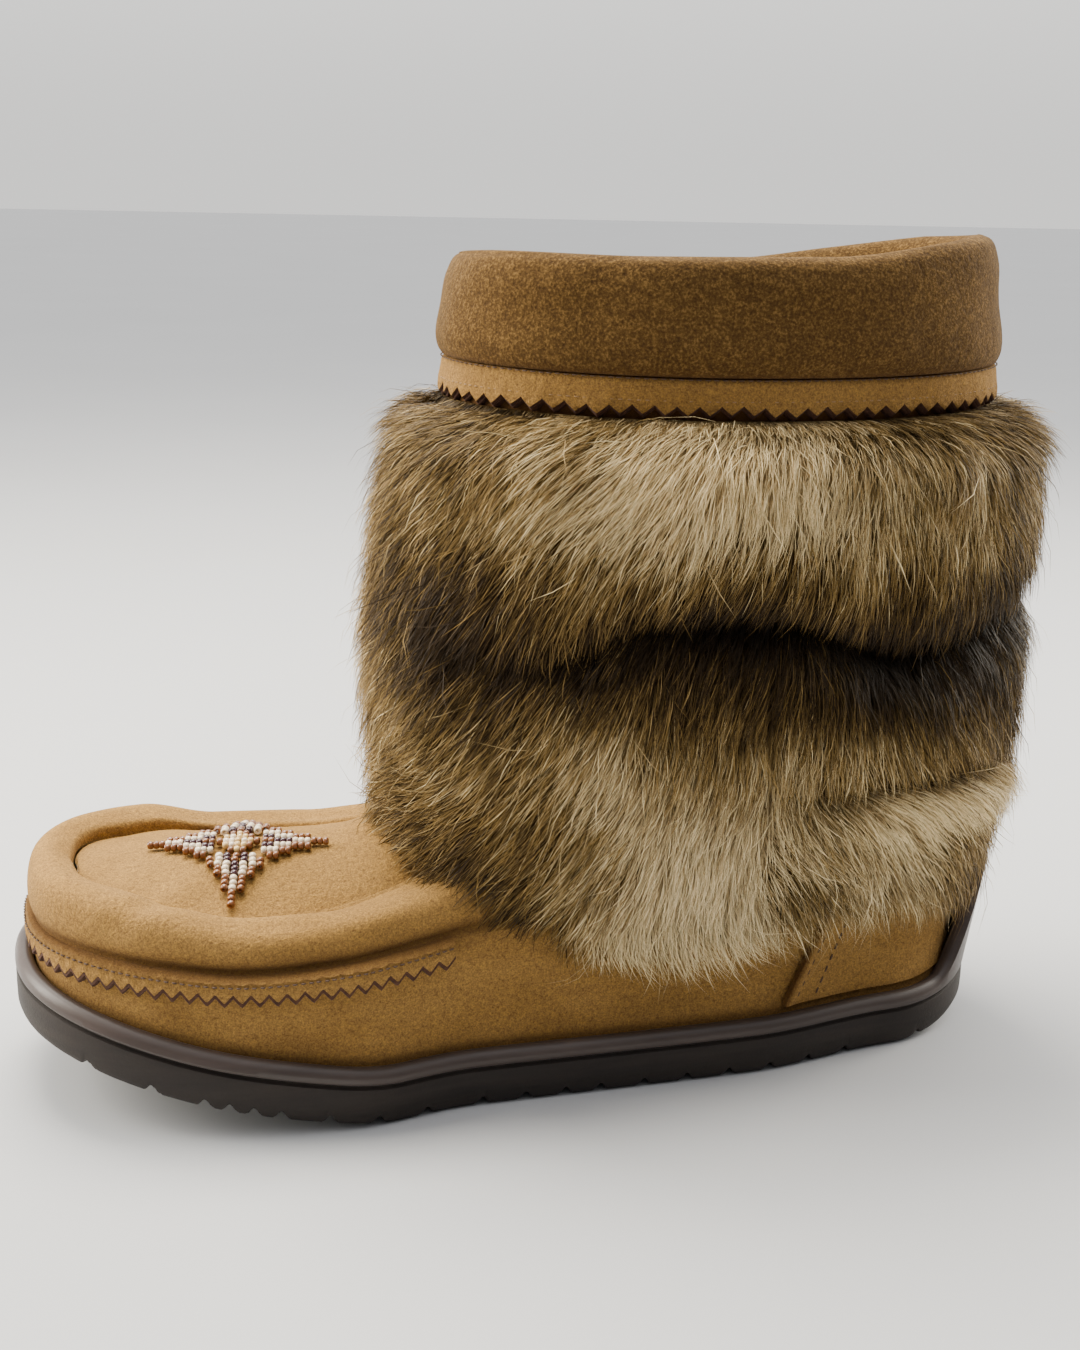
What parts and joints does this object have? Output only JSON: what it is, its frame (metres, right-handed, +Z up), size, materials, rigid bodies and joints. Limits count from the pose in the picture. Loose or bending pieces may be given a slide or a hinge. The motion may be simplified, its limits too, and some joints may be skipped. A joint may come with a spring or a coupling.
{
  "type": "mukluk boot",
  "caption": "Short left winter boot: suede moccasin toe with a beaded star, deep fur sleeve round the ankle, padded suede collar and a moulded rubber cup sole.",
  "frame": {"origin": "on the floor under the middle of the heel's tread, on the face of the mount heel_rest", "axes": "+Z up, toe towards -X, the foot's outer side towards -Y"},
  "size_m": [0.2884, 0.1274, 0.2268],
  "materials": {
    "rubber": "dark brown moulded rubber, matte wall with a smooth satin rim",
    "suede": "tan suede with a short uneven nap, darker in its seams",
    "lining": "cream fleece pile",
    "fur": "agouti rabbit fur, grey-brown with golden and cream tips",
    "beads": "glossy seed beads in copper, white and plum"
  },
  "bodies": {
    "root": {"outsole": "rubber", "insole": "lining", "upper": "suede", "toe_band": "suede", "heel_counter": "suede", "fur_sleeve": "fur", "cuff_band": "suede", "cuff": "suede", "bead_centre": "beads", "bead_arm_toe": "beads", "bead_arm_outer": "beads", "bead_arm_instep": "beads", "bead_arm_inner": "beads"}
  },
  "joints": []
}
